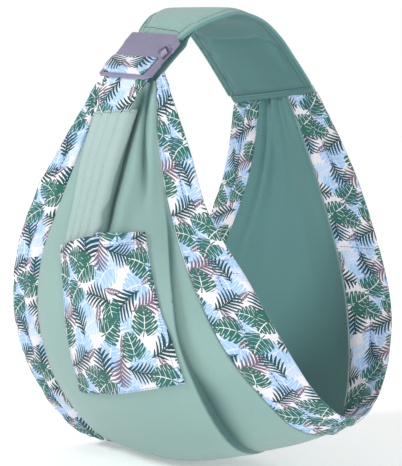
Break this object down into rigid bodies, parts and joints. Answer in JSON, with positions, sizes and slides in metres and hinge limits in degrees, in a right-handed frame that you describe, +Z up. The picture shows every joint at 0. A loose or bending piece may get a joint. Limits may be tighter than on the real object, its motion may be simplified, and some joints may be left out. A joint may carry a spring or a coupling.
{
  "type": "soft baby carrier",
  "caption": "One-shoulder baby sling: padded shoulder strap with a side-release buckle, and a wide padded-edge fabric pouch with a front patch pocket.",
  "frame": {"origin": "on the underside of the padded shoulder strap at its highest point, where it rests on the wearer's shoulder", "axes": "+Z up, +Y towards the back of the loop, away from the pocket, +X across the strap towards the side that the picture shows; the pocket faces -Y"},
  "size_m": [0.4447, 0.4006, 0.5811],
  "materials": {
    "seafoam_cotton": "matte woven cotton",
    "teal_lining": "matte woven lining",
    "leaf_print_cotton": null,
    "padding": "polyester wadding and foam",
    "buckle_plastic": "satin moulded plastic",
    "webbing": "woven webbing"
  },
  "bodies": {
    "carrier": {"pad_cover": "seafoam_cotton", "pad_foam": "padding", "pad_lining": "teal_lining", "pad_back_hem": "leaf_print_cotton", "pad_front_tab": "webbing", "buckle_backing_flap": "teal_lining", "buckle_socket": "buckle_plastic", "strap_end": "leaf_print_cotton", "ribbed_strap": "seafoam_cotton", "front_gather_band": "teal_lining", "front_panel": "seafoam_cotton", "seat_panel": "seafoam_cotton", "back_panel": "teal_lining", "rail_left_front": "leaf_print_cotton", "rail_left_back": "leaf_print_cotton", "rail_right_front": "leaf_print_cotton", "rail_right_back": "leaf_print_cotton", "rail_left_front_padding": "padding", "rail_left_back_padding": "padding", "rail_right_front_padding": "padding", "rail_right_back_padding": "padding", "pocket_panel": "leaf_print_cotton", "pocket_hem": "leaf_print_cotton"},
    "plug": {"buckle_plug": "buckle_plastic", "adjuster_strap": "leaf_print_cotton"},
    "left_arm": {"latch_arm_left": "buckle_plastic"},
    "right_arm": {"latch_arm_right": "buckle_plastic"}
  },
  "joints": [
    {"name": "buckle_release", "type": "slide", "parent": "carrier", "child": "plug", "axis": [0.0565, -0.7878, -0.6133], "range_m": [0, 0.03]},
    {"name": "latch_right_flex", "type": "hinge", "parent": "plug", "child": "right_arm", "pos_m": [0.01699, -0.11853, -0.06288], "axis": [0.1537, -0.6001, 0.785], "range_deg": [0, 14], "stiffness_Nm_per_rad": 0.05},
    {"name": "latch_left_flex", "type": "hinge", "parent": "plug", "child": "left_arm", "pos_m": [-0.01556, -0.1231, -0.06], "axis": [-0.1537, 0.6001, -0.785], "range_deg": [0, 14], "stiffness_Nm_per_rad": 0.05}
  ],
  "couplings": [
    {"joint": "latch_right_flex", "follows": "buckle_release", "rad_per_m": 8.1},
    {"joint": "latch_left_flex", "follows": "buckle_release", "rad_per_m": 8.1}
  ]
}
